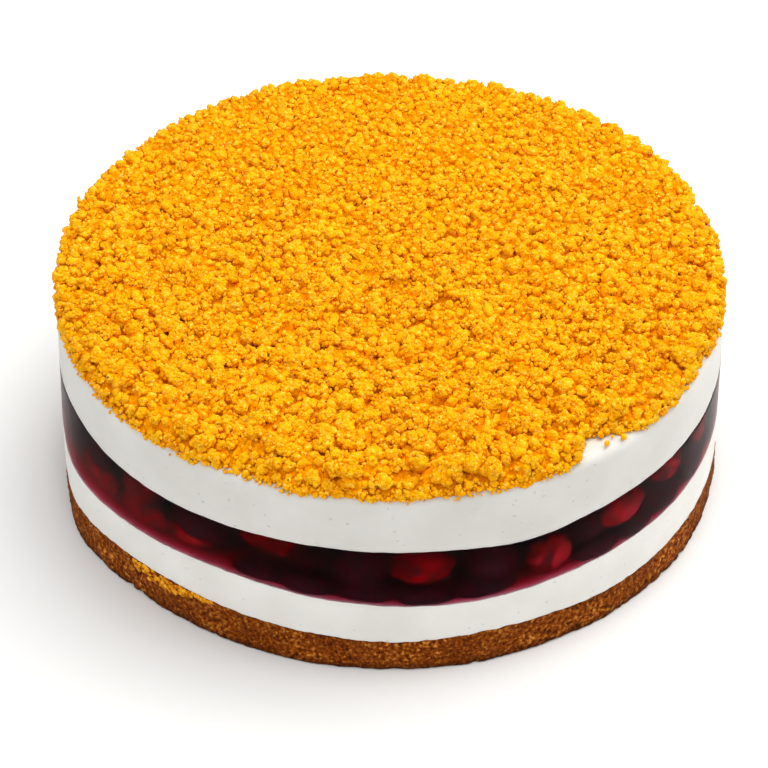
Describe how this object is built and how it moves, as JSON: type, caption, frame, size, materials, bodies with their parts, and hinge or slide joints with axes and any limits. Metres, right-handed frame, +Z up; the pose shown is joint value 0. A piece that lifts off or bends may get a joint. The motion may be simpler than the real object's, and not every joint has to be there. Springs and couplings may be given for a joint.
{
  "type": "fruit torte",
  "caption": "Round layered torte on a baked base, with white cream, a band of dark fruit jelly and a topping of yellow sponge crumbs.",
  "frame": {"origin": "on the surface that the torte stands on, below the middle of the torte", "axes": "+Z up through the layers, -Y towards the side that the picture shows, +X to its right"},
  "size_m": [0.2405, 0.2418, 0.0893],
  "materials": {
    "baked_base": "matte, grainy baked sponge with small pits",
    "white_cream": "soft matte set cream with a few tiny bubbles",
    "fruit_jelly": "glossy, clear and deep, with dark and red fruit in it",
    "sponge_crumb": "matte porous sponge"
  },
  "bodies": {
    "root": {"baked_base": "baked_base", "lower_cream": "white_cream", "fruit_jelly": "fruit_jelly", "upper_cream": "white_cream", "crumb_topping": "sponge_crumb"}
  },
  "joints": []
}
